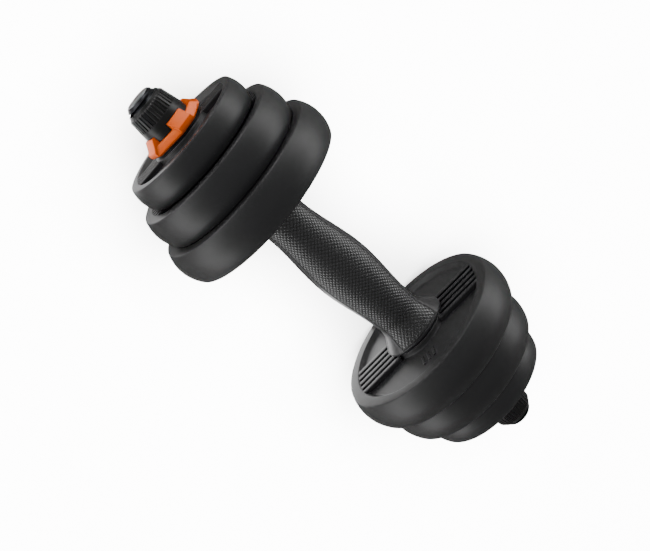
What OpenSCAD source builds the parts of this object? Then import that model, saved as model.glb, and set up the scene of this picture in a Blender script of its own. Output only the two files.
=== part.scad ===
// Screw-lock adjustable dumbbell: a steel bar in an oval padded grip, threaded
// sleeves at both ends, three rubber-covered iron plates a side, and a ribbed
// knob with a toothed lock ring that clamps them.
// X runs along the bar, Z is up, and the origin is the middle of the grip.

/* [Grip] */
// Clear room for the hand between the two large plates
hand_room = 130; // [110:1:160]
// Width of the grip at its fullest, in the middle (Y)
grip_mid_w = 39; // [34:0.5:48]
// Height of the grip at its fullest, in the middle (Z)
grip_mid_h = 35; // [32:0.5:46]
// Width of the grip at its necks
grip_neck_w = 31; // [28:0.5:44]
// Height of the grip at its necks
grip_neck_h = 29; // [28:0.5:42]
// Width of the flared ends
flare_w = 47; // [40:0.5:60]
// Height of the flared ends
flare_h = 41; // [36:0.5:56]
// Length of each flare, from its rim to the neck
flare_len = 15; // [8:0.5:24]
// Thickness of each flare's straight rim
flare_rim = 2.2; // [1:0.1:5]
// Thickness of the textured pads
pad_t = 1.8; // [1:0.1:3]
// Angle of the smooth side strip above and below the middle line
strip_angle = 27; // [12:1:40]
// Angle that the smooth side strip opens to at the flares
lobe_angle = 48; // [30:1:65]

/* [Bar] */
// Diameter of the steel bar
bar_d = 16; // [12:0.5:20]
// Length of bar that stands out past each knob
bar_beyond = 4.3; // [2:0.1:40]
// Length of each bar end that stands out of its sleeve
bar_proud = 0.5; // [0:0.1:4]
// Height of the stop collars over the bar, inside the flares
collar_step = 7; // [3:0.5:9]
// Width of the stop collars
collar_w = 4; // [2:0.2:8]

/* [Thread] */
// Wall of the threaded sleeves under the thread's root
sleeve_wall = 1; // [0.8:0.1:3]
// Depth of the rounded thread
thread_depth = 2; // [1:0.1:2.2]
// Pitch of the thread, which has one start
pitch = 6; // [4:0.5:8]
// Length of the plain seat at each sleeve's inner end, before its thread
plain_seat = 22.2; // [4:0.1:40]
// Radial clearance between the sleeve's thread and the nut's
thread_gap = 0.4; // [0.35:0.05:0.6]
// Wall of each sleeve at its end, inside its chamfer
nose_wall = 0.8; // [0.4:0.1:2]
// Length of the chamfer on each sleeve's end
sleeve_nose = 2.6; // [1:0.1:4]

/* [Plates] */
// Radial room between the thread and the bores of the plates
bore_gap = 1; // [0.4:0.1:3]
// Wall of the steel bush in each plate
bush_wall = 3; // [1.5:0.1:5]
// Width of the flush rubber ring round each bush
hub_w = 6; // [2:0.5:10]
// Thickness of the rubber skin over the iron
skin_t = 2; // [1:0.1:3]
// Width of the large plate along the bar
large_w = 25.2; // [20:0.2:32]
// Rim diameter of the large plate
large_d = 127.3; // [110:0.5:160]
// How far the large plate's rim bulges past its flat faces
large_bulge = 3.5; // [1:0.05:6]
// Width of the flat ring round the large plate's recess
large_flat_w = 6.95; // [4:0.05:12]
// Width of the medium plate
medium_w = 23.2; // [18:0.2:30]
// Rim diameter of the medium plate
medium_d = 112.1; // [98:0.5:140]
// How far the medium plate's rim bulges past its flat faces
medium_bulge = 2.85; // [1:0.05:6]
// Width of the flat ring round the medium plate's recess
medium_flat_w = 6.2; // [4:0.05:12]
// Width of the small plate
small_w = 18.3; // [14:0.1:24]
// Rim diameter of the small plate
small_d = 91.4; // [80:0.5:115]
// How far the small plate's rim bulges past its flat faces
small_bulge = 2.1; // [1:0.05:6]
// Width of the flat ring round the small plate's recess
small_flat_w = 4.6; // [4:0.05:12]
// Depth of the recesses
recess_depth = 3.4; // [1:0.1:4]
// Run of the recesses' sloping walls
recess_slope = 3; // [1:0.1:6]
// Depth of the grooves between the ribs across the recesses
rib_depth = 1.2; // [0.5:0.1:2]
// How far the ribs lie below the flat faces
rib_sink = 0.3; // [0:0.1:1]
// Share of each rib's pitch that its groove takes
groove_share = 0.42; // [0.25:0.01:0.6]
// Width of the rib band across the large plate
large_band_w = 29; // [20:0.5:36]
// Width of the rib band across the medium plate
medium_band_w = 23; // [16:0.5:30]
// Width of the rib band across the small plate
small_band_w = 18; // [12:0.5:26]

/* [Knob] */
// Thickness of the thrust washer
washer_t = 1.5; // [1:0.1:3]
// Width of the thrust washer's face
washer_w = 7; // [3:0.5:10]
// Length of the knob, from its teeth to its outer end
knob_len = 20.6; // [18:0.5:32]
// Wall of the knob's skirt round its nut
skirt_wall = 2.57; // [2:0.01:6]
// How far the knob narrows from its skirt to its outer end
knob_taper = 1.8; // [0:0.1:1.8]
// Length of the chamfer at the knob's outer end
knob_chamfer = 2.2; // [1:0.1:4]
// Width of the flat round the knob's mouth, inside the chamfer
knob_mouth = 0.4; // [0.2:0.1:2]
// Length of smooth skirt between the teeth and the grip grooves
knob_smooth = 4.4; // [2:0.2:8]
// Number of grip grooves round the knob
knob_grooves = 36; // [20:1:40]
// Width of each grip groove
knob_groove_w = 1; // [0.6:0.1:1.4]
// Depth of each grip groove
knob_groove_depth = 0.7; // [0.4:0.1:1]
// Length of the threaded nut inside the knob
nut_len = 12; // [6:1:18]
// Wall of the nut outside its thread
nut_wall = 1.3; // [1:0.1:3]
// Thickness of the lock ring's base
ring_base = 5.6; // [4:0.1:9]
// How far the lock ring stands out past the knob's skirt
ring_out = 6.6; // [4:0.1:12]
// Bevel round the lock ring's lower edge
ring_bevel = 1.4; // [0.5:0.1:2]
// Step from the knob's skirt out to the lock ring's base
ring_lip = 1.2; // [0.5:0.1:3]
// How far the teeth stand proud of the skirt at their tips
tooth_proud = 0.6; // [0:0.1:2]
// Height of the lock ring's teeth
tooth_h = 4.6; // [3:0.1:6]
// Width of the lock ring's teeth
tooth_w = 12; // [8:0.2:14]
// Gap between the lock ring's teeth and the knob's
tooth_gap = 0.15; // [0.05:0.05:0.5]

/* [Hidden] */
SIDES = ["left", "right"];
SIZES = ["large", "medium", "small"];
$fn = 96;

// Small room that lets a pressed or bonded piece meet its seat without biting
press_gap = 0.02;
// Gap between the grip's ends and the large plates
grip_end_gap = 0.3;
// Angle left open between each pad's edges and the shells
pad_seam = 0.1;
// Extra length that a cut runs past the face it opens
past = 1;

// Places along the bar, from the middle out
large_in = hand_room / 2;
medium_in = large_in + large_w;
small_in = medium_in + medium_w;
washer_in = small_in + small_w;
ring_in = washer_in + washer_t;
tooth_in = ring_in + ring_base;
tooth_top = tooth_in + tooth_h;
knob_out = tooth_in + knob_len;
bar_end = knob_out + bar_beyond;
sleeve_out = bar_end - bar_proud;
thread_in = large_in + plain_seat;
thread_len = sleeve_out - thread_in;
grip_end = large_in - grip_end_gap;
collar_in = large_in - collar_w;

// Threads and their seats are prisms of FLATS flats, with RINGS rings of points a pitch
FLATS = 24;
RINGS = 6;
ring_step = pitch / RINGS;
fade_len = pitch / 2;
// Radius to the corners of such a prism whose flats lie at flat_r
function corner_r(flat_r) = flat_r / cos(180 / FLATS);

// Radii, from the bar out
bar_r = bar_d / 2;
collar_r = bar_r + collar_step;
crest_r = bar_r + sleeve_wall + thread_depth;
nut_bore_r = crest_r + thread_gap;
nut_r = nut_bore_r + nut_wall;
nut_room_r = corner_r(nut_r + press_gap);
skirt_r = nut_room_r + skirt_wall;
knob_end_r = skirt_r - knob_taper;
ring_r = skirt_r + ring_out;
plate_bore_r = crest_r + bore_gap;
bush_r = plate_bore_r + bush_wall;
hub_r = bush_r + hub_w;

// Lays a shape drawn round Z along the bar, turned about the bar by turn
module on_bar(turn = 0) {
    rotate([0, 90, 0])
        rotate([0, 0, turn])
            children();
}

// Puts a right-hand piece at its side: the left end is the right end turned half
// round, not mirrored, so both threads are right-handed
module at_side(side) {
    rotate([0, 0, side == "left" ? 180 : 0])
        children();
}

// A tube along the bar, from its inner end out
module tube(from, length, outer_r, inner_r) {
    translate([from, 0, 0])
        on_bar()
            difference() {
                cylinder(h = length, r = outer_r);
                translate([0, 0, -past])
                    cylinder(h = length + 2 * past, r = inner_r);
            }
}

// A point at radius r and angle a round the bar, at x along it
function round_bar(x, a, r) = [x, r * cos(a), r * sin(a)];
// A closed ring of points round the bar, one on each corner of the flats
function flats_ring(x, r) = [for (j = [0 : FLATS - 1]) round_bar(x, 360 * j / FLATS, r)];

// Faces that join each closed ring of n points to the next, facing out, or in for a bore
function wall_faces(rings, n, first = 0, bore = false) = [
    for (i = [0 : rings - 2])
        for (j = [0 : n - 1])
            let (a = first + i * n + j, b = first + i * n + (j + 1) % n)
                each bore ? [[a, b, b + n], [a, b + n, a + n]] : [[a, b + n, b], [a, a + n, b + n]]
];

// A solid from a stack of closed rings of n points
module stack(points, n) {
    rings = len(points) / n;
    near = [for (j = [0 : n - 1]) j];
    far = [for (j = [n - 1 : -1 : 0]) (rings - 1) * n + j];
    polyhedron(points, concat(wall_faces(rings, n), [near, far]));
}

// A tube of flats from the rings of its outside and of its bore, which end together
module flats_tube(outside, bore) {
    n = FLATS;
    first = len(outside);
    out_far = first - n;
    bore_far = first + len(bore) - n;
    ends = [
        for (j = [0 : n - 1])
            let (k = (j + 1) % n)
                each [
                    [j, k, first + k],
                    [j, first + k, first + j],
                    [out_far + j, bore_far + k, out_far + k],
                    [out_far + j, bore_far + j, bore_far + k]
                ]
    ];
    faces = concat(
        wall_faces(len(outside) / n, n),
        wall_faces(len(bore) / n, n, first, true),
        ends
    );
    polyhedron(concat(outside, bore), faces);
}

// ---- Grip ----

// Rings of points along the grip, and steps across each smooth side and each pad
GRIP_RINGS = 30;
SIDE_STEPS = 3;
PAD_STEPS = 14;
pad_end = grip_end - flare_rim;
neck_x = pad_end - flare_len;

// 0 in the middle of the grip, 1 at the neck and beyond
function neck_share(x) = min(1, abs(x) / neck_x);
// 0 up to the neck, 1 at the flare's rim and beyond
function flare_share(x) = min(1, max(0, (abs(x) - neck_x) / flare_len));
// Half of the grip's width or height: a long bulge between the necks, then a flare
function grip_half(x, mid, neck, flare) =
    (neck
        + (mid - neck) * (1 + cos(180 * neck_share(x))) / 2
        + (flare - neck) * (1 - cos(90 * flare_share(x)))) / 2;
// A point on the grip's skin at angle a, sunk below it by sink
function grip_point(x, a, sink = 0) = [
    x,
    (grip_half(x, grip_mid_w, grip_neck_w, flare_w) - sink) * cos(a),
    (grip_half(x, grip_mid_h, grip_neck_h, flare_h) - sink) * sin(a)
];
// Angle at which a pad's edge lies: the smooth side opens into a lobe at each flare
function pad_edge(x) = strip_angle + (lobe_angle - strip_angle) * pow(flare_share(x), 1.5);
function across_pad(edge, step) = edge + (180 - 2 * edge) * step / PAD_STEPS;
// Places of the rings along a pad, with its ends pulled in by gap
function pad_stations(gap) = [
    for (i = [0 : GRIP_RINGS])
        let (share = 2 * i / GRIP_RINGS - 1)
            share * (abs(share) < 1 ? pad_end : pad_end - gap)
];

// Half a ring round the upper side of the grip, sunk by sink from each pad edge to the other
function half_ring(x, sink) =
    let (edge = pad_edge(x), ends = sink > 0 ? 0 : 1)
        concat(
            [for (i = [0 : SIDE_STEPS]) grip_point(x, edge * i / SIDE_STEPS)],
            [for (i = [ends : PAD_STEPS - ends]) grip_point(x, across_pad(edge, i), sink)],
            [for (i = [SIDE_STEPS : -1 : 0]) grip_point(x, 180 - edge * i / SIDE_STEPS)]
        );

// Half of the grip, with a bed for its pad, solid rims, and seats for the bar and collars
module grip_half_shell() {
    bed = [for (x = pad_stations(0)) half_ring(x, pad_t)];
    rim = [for (x = [pad_end, grip_end]) half_ring(x, 0)];
    difference() {
        union() {
            stack([for (ring = bed) each ring], len(bed[0]));
            for (side = SIDES)
                at_side(side)
                    stack([for (ring = rim) each ring], len(rim[0]));
        }
        translate([-grip_end - past, 0, 0])
            on_bar()
                cylinder(h = 2 * (grip_end + past), r = bar_r + press_gap);
        for (side = SIDES)
            at_side(side)
                translate([collar_in - press_gap, 0, 0])
                    on_bar()
                        cylinder(h = collar_w + past, r = collar_r + press_gap);
    }
}

// The upper pad, a curved sheet that lies in its bed
module grip_pad() {
    points = [
        for (x = pad_stations(press_gap))
            let (edge = pad_edge(x) + pad_seam)
                each concat(
                    [for (i = [0 : PAD_STEPS]) grip_point(x, across_pad(edge, i))],
                    [for (i = [PAD_STEPS : -1 : 0]) grip_point(x, across_pad(edge, i), pad_t - press_gap)]
                )
    ];
    stack(points, 2 * (PAD_STEPS + 1));
}

module grip_shell_upper() {
    color("dimgray") grip_half_shell();
}

module grip_shell_lower() {
    color("dimgray") rotate([180, 0, 0]) grip_half_shell();
}

module grip_pad_upper() {
    color("#3a3a3a") grip_pad();
}

module grip_pad_lower() {
    color("#3a3a3a") rotate([180, 0, 0]) grip_pad();
}

// ---- Bar, stop collars and threaded sleeves ----

// A solid prism of flats along the bar
module flats_prism(from, to, flat_r) {
    stack(concat(flats_ring(from, corner_r(flat_r)), flats_ring(to, corner_r(flat_r))), FLATS);
}

// Round inside the grip, with flats on its ends that keep the sleeves from turning
module bar() {
    color("silver") {
        translate([-large_in, 0, 0])
            on_bar()
                cylinder(h = 2 * large_in, r = bar_r);
        for (side = SIDES)
            at_side(side)
                flats_prism(large_in, bar_end, bar_r);
    }
}

module stop_collar(side) {
    color("gray")
        at_side(side)
            tube(collar_in, collar_w, collar_r, bar_r + press_gap);
}

// Depth of the thread's rounded groove below its crest, one turn a pitch
function groove_at(x, a) = thread_depth / 2 * (1 - cos(360 * x / pitch - a));
// Share of the full groove: it fades out where the plain seat of the large plate begins
function thread_share(x) = min(1, max(0, (x - thread_in) / fade_len));
// Radius of the chamfer on the sleeve's end
function nose_r(x) =
    let (tip_r = bar_r + nose_wall)
        tip_r + (crest_r - tip_r) * (sleeve_out - x) / sleeve_nose;
function sleeve_r(x, a) = min(crest_r - thread_share(x) * groove_at(x, a), nose_r(x));

module thread_sleeve(side) {
    rings = ceil(thread_len / ring_step);
    stations = concat([large_in], [for (i = [0 : rings]) thread_in + thread_len * i / rings]);
    outside = [
        for (x = stations)
            for (j = [0 : FLATS - 1])
                let (a = 360 * j / FLATS)
                    round_bar(x, a, sleeve_r(x, a))
    ];
    bore_r = corner_r(bar_r + press_gap);
    color("#222222")
        at_side(side)
            flats_tube(outside, concat(flats_ring(large_in, bore_r), flats_ring(sleeve_out, bore_r)));
}

// ---- Plates ----

// A plate's own value out of three, by the name of its size
function of_size(size, values) = values[search([size], SIZES)[0]];
function plate_in(size) = of_size(size, [large_in, medium_in, small_in]);
function plate_w(size) = of_size(size, [large_w, medium_w, small_w]);
function plate_r(size) = of_size(size, [large_d, medium_d, small_d]) / 2;
function bulge(size) = of_size(size, [large_bulge, medium_bulge, small_bulge]);
function face_r(size) = plate_r(size) - bulge(size);
function recess_r(size) = face_r(size) - of_size(size, [large_flat_w, medium_flat_w, small_flat_w]);
function band_w(size) = of_size(size, [large_band_w, medium_band_w, small_band_w]);
// Number of ribs in the band, and the angle at which each plate happens to hang
function band_ribs(size) = of_size(size, [5, 5, 6]);
function plate_turn(size) = of_size(size, [13, 0, -4]);

// Outline of the iron, radius against width: a thin web with a heavy rim
module core_outline(size) {
    rim_half = plate_w(size) / 2 - skin_t;
    web_half = rim_half - recess_depth;
    rim_in = recess_r(size) + skin_t / 2;
    rim_out = face_r(size) - skin_t / 2;
    translate([bush_r + press_gap, -web_half])
        square([rim_out - bush_r - press_gap, 2 * web_half]);
    translate([rim_in, -rim_half])
        square([rim_out - rim_in, 2 * rim_half]);
}

// Outline of the whole plate: flat faces, a sloped recess in each, and a barrel rim
module plate_outline(size) {
    w = plate_w(size);
    out = bulge(size);
    barrel_r = (w * w / 4 + out * out) / (2 * out);
    difference() {
        union() {
            translate([bush_r + press_gap, -w / 2])
                square([face_r(size) - bush_r - press_gap, w]);
            intersection() {
                translate([plate_r(size) - barrel_r, 0])
                    circle(r = barrel_r);
                translate([face_r(size) - past, -w / 2])
                    square([out + 2 * past, w]);
            }
        }
        for (face = [-1, 1])
            polygon([
                [hub_r, face * (w / 2 + past)],
                [hub_r, face * (w / 2 - recess_depth)],
                [recess_r(size) - recess_slope, face * (w / 2 - recess_depth)],
                [recess_r(size), face * w / 2],
                [recess_r(size), face * (w / 2 + past)]
            ]);
    }
}

// Ribs across one recess, from edge to edge and round the hub, standing on its floor
module rib_band(size) {
    rib_pitch = band_w(size) / band_ribs(size);
    groove_w = rib_pitch * groove_share;
    top = plate_w(size) / 2 - rib_sink;
    floor_in = plate_w(size) / 2 - recess_depth - skin_t / 2;
    reach = recess_r(size);
    difference() {
        intersection() {
            translate([-band_w(size) / 2, -reach, floor_in])
                cube([band_w(size), 2 * reach, top - floor_in]);
            translate([0, 0, floor_in])
                cylinder(h = top - floor_in, r = reach);
        }
        for (i = [1 : band_ribs(size) - 1])
            translate([i * rib_pitch - (band_w(size) + groove_w) / 2, -reach - past, top - rib_depth])
                cube([groove_w, 2 * (reach + past), rib_depth + past]);
        translate([0, 0, floor_in - past])
            cylinder(h = recess_depth + skin_t + 2 * past, r = hub_r - past);
    }
}

module plate_skin(size, side) {
    color("#2e2e2e")
        at_side(side)
            translate([plate_in(size) + plate_w(size) / 2, 0, 0])
                on_bar(plate_turn(size)) {
                    rotate_extrude()
                        difference() {
                            plate_outline(size);
                            core_outline(size);
                        }
                    rib_band(size);
                    rotate([180, 0, 0])
                        rib_band(size);
                }
}

module plate_core(size, side) {
    color("#5a5a5a")
        at_side(side)
            translate([plate_in(size) + plate_w(size) / 2, 0, 0])
                on_bar()
                    rotate_extrude()
                        core_outline(size);
}

module plate_bush(size, side) {
    color("silver")
        at_side(side)
            tube(plate_in(size), plate_w(size), bush_r, plate_bore_r);
}

// ---- Thrust washer, lock ring, knob and nut ----

TEETH = 4;
// Angle at which the first tooth happens to stand
tooth_turn = 20;

module thrust_washer(side) {
    color("gray")
        at_side(side)
            tube(washer_in, washer_t, plate_bore_r + washer_w, plate_bore_r);
}

// The lock ring's eight corners at x, with its sides under the teeth at reach from the axis
function ring_corners(x, reach) = [
    for (i = [0 : TEETH - 1])
        for (end = [-1, 1])
            let (a = tooth_turn + 360 * i / TEETH + end * atan(tooth_w / 2 / reach))
                round_bar(x, a, norm([reach, tooth_w / 2]))
];

// A rubber ring that turns with the knob: its teeth fill the notches in the knob's skirt
module lock_ring(side) {
    shoulder_x = ring_in + ring_bevel;
    foot_x = (shoulder_x + tooth_in) / 2;
    foot_r = sqrt(ring_r * ring_r - tooth_w * tooth_w / 4);
    top_r = (skirt_r + ring_lip) / cos(180 / TEETH) - tooth_w / 2;
    tooth_inner_r = nut_room_r + tooth_gap;
    base = concat(
        ring_corners(ring_in, foot_r - ring_bevel),
        ring_corners(shoulder_x, foot_r),
        ring_corners(tooth_in, top_r)
    );
    color("orange")
        at_side(side) {
            difference() {
                stack(base, 2 * TEETH);
                translate([ring_in - past, 0, 0])
                    on_bar()
                        cylinder(h = ring_base + 2 * past, r = plate_bore_r);
            }
            for (i = [0 : TEETH - 1])
                rotate([tooth_turn + 360 * i / TEETH, 0, 0])
                    translate([0, 0, -tooth_w / 2])
                        linear_extrude(tooth_w)
                            polygon([
                                [shoulder_x, tooth_inner_r],
                                [tooth_top, tooth_inner_r],
                                [tooth_top, skirt_r + tooth_proud],
                                [foot_x, foot_r],
                                [shoulder_x, foot_r]
                            ]);
        }
}

// Slots out from the axis that clear the lock ring's teeth
module tooth_slots(from, to) {
    width = tooth_w + 2 * tooth_gap;
    for (i = [0 : TEETH - 1])
        rotate([tooth_turn + 360 * i / TEETH, 0, 0])
            translate([from, 0, -width / 2])
                cube([to - from, 2 * skirt_r, width]);
}

// A hard ribbed knob, notched at its skirt, with a pocket that holds the nut from turning
module knob(side) {
    skirt_in = tooth_in + tooth_gap;
    taper_out = knob_out - knob_chamfer;
    taper = atan(knob_taper / (taper_out - tooth_top));
    grooves_in = tooth_top + knob_smooth;
    groove_floor_r = knob_end_r + (taper_out - grooves_in) * tan(taper) - knob_groove_depth;
    color("#1c1c1c")
        at_side(side)
            difference() {
                on_bar()
                    rotate_extrude()
                        polygon([
                            [plate_bore_r, skirt_in],
                            [skirt_r, skirt_in],
                            [skirt_r, tooth_top],
                            [knob_end_r, taper_out],
                            [nut_bore_r + knob_mouth, knob_out],
                            [nut_bore_r, knob_out],
                            [nut_bore_r, tooth_top],
                            [plate_bore_r, tooth_top]
                        ]);
                flats_prism(skirt_in - past, skirt_in + nut_len + press_gap, nut_r + press_gap);
                tooth_slots(skirt_in - past, tooth_top + tooth_gap);
                for (i = [0 : knob_grooves - 1])
                    rotate([360 * i / knob_grooves, 0, 0])
                        translate([grooves_in, 0, groove_floor_r])
                            rotate([0, taper, 0])
                                translate([0, -knob_groove_w / 2, 0])
                                    cube([knob_len, knob_groove_w, skirt_r]);
            }
}

// The nut's thread is the sleeve's, moved out by the thread's clearance
module nut_insert(side) {
    from = tooth_in + tooth_gap;
    to = from + nut_len;
    rings = ceil(nut_len / ring_step);
    outside = concat(flats_ring(from, corner_r(nut_r)), flats_ring(to, corner_r(nut_r)));
    bore = [
        for (i = [0 : rings])
            let (x = from + nut_len * i / rings)
                for (j = [0 : FLATS - 1])
                    let (a = 360 * j / FLATS)
                        round_bar(x, a, nut_bore_r - groove_at(x, a))
    ];
    color("#b08d3c")
        at_side(side)
            flats_tube(outside, bore);
}

// ---- Assembly ----

bar();
grip_shell_upper();
grip_shell_lower();
grip_pad_upper();
grip_pad_lower();
for (side = SIDES) {
    stop_collar(side);
    thread_sleeve(side);
    thrust_washer(side);
    lock_ring(side);
    knob(side);
    nut_insert(side);
    for (size = SIZES) {
        plate_core(size, side);
        plate_skin(size, side);
        plate_bush(size, side);
    }
}
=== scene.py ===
import math
import bpy
import numpy as np
from mathutils import Matrix, Vector


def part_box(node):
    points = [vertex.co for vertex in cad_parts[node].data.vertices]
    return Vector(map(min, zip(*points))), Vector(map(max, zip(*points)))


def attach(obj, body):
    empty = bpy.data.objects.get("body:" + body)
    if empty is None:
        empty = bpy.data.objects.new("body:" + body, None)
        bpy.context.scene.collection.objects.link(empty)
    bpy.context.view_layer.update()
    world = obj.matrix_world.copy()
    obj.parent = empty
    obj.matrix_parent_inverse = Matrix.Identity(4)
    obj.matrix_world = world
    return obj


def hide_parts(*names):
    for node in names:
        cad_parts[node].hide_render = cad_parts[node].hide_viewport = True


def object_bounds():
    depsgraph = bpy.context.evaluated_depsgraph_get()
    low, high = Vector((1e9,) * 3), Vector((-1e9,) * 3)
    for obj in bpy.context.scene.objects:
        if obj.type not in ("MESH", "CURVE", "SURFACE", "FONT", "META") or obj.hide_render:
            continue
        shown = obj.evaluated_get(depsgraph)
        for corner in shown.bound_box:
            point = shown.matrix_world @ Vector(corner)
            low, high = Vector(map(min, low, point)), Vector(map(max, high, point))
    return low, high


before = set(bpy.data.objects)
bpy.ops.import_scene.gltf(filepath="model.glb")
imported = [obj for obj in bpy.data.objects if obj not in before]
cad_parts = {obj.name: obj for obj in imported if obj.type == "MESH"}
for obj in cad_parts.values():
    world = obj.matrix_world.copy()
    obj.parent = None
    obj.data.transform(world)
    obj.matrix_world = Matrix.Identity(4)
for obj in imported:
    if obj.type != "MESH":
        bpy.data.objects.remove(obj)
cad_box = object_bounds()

# ---- Camera, floor and studio ----
# A catalogue shot: the camera looks steeply down from beyond the left-hand end,
# and is rolled so that the dumbbell lies across the frame from corner to corner.
MM = 0.001
CENTRE = (0, 0, 0)


def hex_colour(text):
    """An sRGB hex colour as linear red, green, blue and alpha."""
    parts = [int(text[i:i + 2], 16) / 255 for i in (1, 3, 5)]
    return [v / 12.92 if v <= 0.04045 else ((v + 0.055) / 1.055) ** 2.4 for v in parts] + [1.0]


def put(tree, kind, links=(), **settings):
    """Adds a node. A setting named in_ and a socket's number or name sets that input, and any
    other sets a property; links joins outputs of earlier nodes to this node's inputs."""
    node = tree.nodes.new(kind)
    for key, value in settings.items():
        if key.startswith("in_"):
            name = key[3:]
            name = int(name) if name.isdigit() else name.replace("_", " ")
            node.inputs[name].default_value = value
        else:
            setattr(node, key, value)
    for target, source in dict(links).items():
        tree.links.new(source, node.inputs[target])
    return node


def new_material(name):
    """An empty material and its tree."""
    material = bpy.data.materials.new(name)
    material.use_nodes = True
    material.node_tree.nodes.clear()
    return material, material.node_tree


def finish_material(tree, shader):
    """Sends the shader to the material's surface."""
    put(tree, "ShaderNodeOutputMaterial", {"Surface": shader.outputs[0]})


def add_object(name, data):
    """A new object in the scene."""
    thing = bpy.data.objects.new(name, data)
    bpy.context.scene.collection.objects.link(thing)
    return thing


# The lens is a short telephoto, 0.73 m above the bar's axis. The camera's right, down and
# ahead are written out, because it is rolled as well as tilted.
camera_data = bpy.data.cameras.new("camera")
camera_data.sensor_width = 36
camera_data.lens = 68.62
camera_data.clip_start = 0.05
camera_data.clip_end = 20
camera = add_object("camera", camera_data)
CAMERA_AT = Vector((-0.26126, 0, 0.72711))
CAMERA_RIGHT = Vector((0.73080, 0.63588, 0.24817))
CAMERA_DOWN = Vector((0.59627, -0.77167, 0.22132))
CAMERA_AHEAD = Vector((0.33224, -0.01377, -0.94309))
columns = (CAMERA_RIGHT, -CAMERA_DOWN, -CAMERA_AHEAD, CAMERA_AT)
camera.matrix_world = Matrix([[c[i] for c in columns] for i in range(3)] + [[0, 0, 0, 1]])
bpy.context.scene.camera = camera

# White painted board, sanded between coats: it gives an even pale ground with the
# faintest mottle, 110 mm across, and a soft shadow under the plates.
FLOOR_HALF = 6.0
FLOOR_GAP = 0.0005      # below the plates' rims, so that no faces lie in one plane
floor_z = cad_box[0].z - FLOOR_GAP
floor_mesh = bpy.data.meshes.new("floor")
corners = [(-1, -1), (1, -1), (1, 1), (-1, 1)]
floor_points = [(x * FLOOR_HALF, y * FLOOR_HALF, floor_z) for x, y in corners]
floor_mesh.from_pydata(floor_points, [], [(0, 1, 2, 3)])
floor = add_object("floor", floor_mesh)
painted_board, tree = new_material("painted_board")
place = put(tree, "ShaderNodeTexCoord")
mottle = put(
    tree, "ShaderNodeTexNoise", {"Vector": place.outputs["Object"]}, in_Scale=9.0, in_Detail=3.0)
shade = put(tree, "ShaderNodeValToRGB", {"Fac": mottle.outputs[0]})
shade.color_ramp.elements[0].color = hex_colour("#f3f3f2")
shade.color_ramp.elements[1].color = hex_colour("#f8f8f8")
shader = put(tree, "ShaderNodeBsdfPrincipled", {"Base Color": shade.outputs[0]}, in_Roughness=0.8)
finish_material(tree, shader)
floor_mesh.materials.append(painted_board)
floor.visible_glossy = False     # keeps its white out of the dark rims


def soft_light(name, at, aim, size, power, in_gloss=True, in_diffuse=True, only=None):
    """A rectangular soft box at one point, turned to another. It may be kept out of the
    reflections, or seen in nothing else, or light one object alone."""
    data = bpy.data.lights.new(name, "AREA")
    data.shape = "RECTANGLE"
    data.size, data.size_y = size
    data.energy = power
    light = add_object(name, data)
    light.location = at
    light.rotation_euler = (Vector(aim) - Vector(at)).to_track_quat("-Z", "Y").to_euler()
    light.visible_camera = False
    light.visible_glossy = in_gloss
    light.visible_diffuse = in_diffuse
    if only:
        lit = bpy.data.collections.new(name)
        lit.objects.link(only)
        light.light_linking.receiver_collection = lit


# Two long soft boxes stand low on either side and draw the broad highlights down the
# rims, and two smaller ones do the same for the left-hand end's faces. Sizes in metres.
for end, y in (("front", -0.9), ("back", 0.9)):
    soft_light(f"side_soft_box_{end}", (0.0, y, 0.12), CENTRE, size=(1.3, 0.42), power=6.5)
soft_light("end_soft_box_front", (-1.0, -0.5, 0.1), CENTRE, size=(0.7, 0.5), power=5)
soft_light("end_soft_box_back", (-1.0, 0.44, 0.155), CENTRE, size=(0.3, 0.25), power=4)

# Two pale cards lie near the floor and face up. They show only in the gloss, as the floor
# would in the faces that lean over it; the floor itself is kept out of the reflections.
for end, x, y, size in (
    ("inner", 0.047, -0.075, (0.036, 0.11)), ("outer", -0.165, -0.06, (0.07, 0.1))):
    soft_light(f"low_card_{end}", (x, y, -0.061), (x, y, 1), size, power=0.05, in_diffuse=False)

# The overhead panel fills from above and stays out of the reflections. The floor wash
# hangs in the same place and lights only the floor, to bring it up to white.
OVERHEAD_AT = (0.0, 0.0, 1.9)
OVERHEAD_SIZE = (2.4, 2.4)
soft_light("overhead_panel", OVERHEAD_AT, CENTRE, OVERHEAD_SIZE, power=60, in_gloss=False)
soft_light("floor_wash", OVERHEAD_AT, CENTRE, OVERHEAD_SIZE, power=900, in_gloss=False, only=floor)
world = bpy.data.worlds.new("studio")
bpy.context.scene.world = world
world.use_nodes = True
world.node_tree.nodes.clear()
tree = world.node_tree
glow = put(tree, "ShaderNodeBackground", in_Color=hex_colour("#f6f5f4"), in_Strength=0.22)
put(tree, "ShaderNodeOutputWorld", {"Surface": glow.outputs[0]})

# ---- Grip: shells ----
# Two halves moulded in black glass-filled nylon, screwed together round the bar. Each
# is a long bulge with flared ends, a smooth strip down each side and a bed for its pad.
GRIP_WIDE = (39.0, 31.0, 47.0)   # middle, necks and flares, across (Y)
GRIP_HIGH = (35.0, 29.0, 41.0)   # the same, up and down (Z)
FLARE_LENGTH = 15.0
FLARE_RIM = 2.2
PAD_THICK = 1.8
STRIP_ANGLE = 27.0
LOBE_ANGLE = 48.0
LOBE_CURVE = 1.5
SEAM_SOFTEN = 0.55               # how far from a seam the edge starts to round over
SEAM_DROP = 0.4
SEAT_CLEARANCE = 0.02
BAR_SEAT = 8.02
COLLAR_SEAT = 15.02
SHARP_ANGLE = math.radians(35)   # edges that turn more than this are shaded as corners
grip_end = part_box("grip_shell_upper")[1].x / MM
collar_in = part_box("stop_collar_right")[0].x / MM - SEAT_CLEARANCE
pad_end = grip_end - FLARE_RIM
neck_x = pad_end - FLARE_LENGTH


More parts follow.
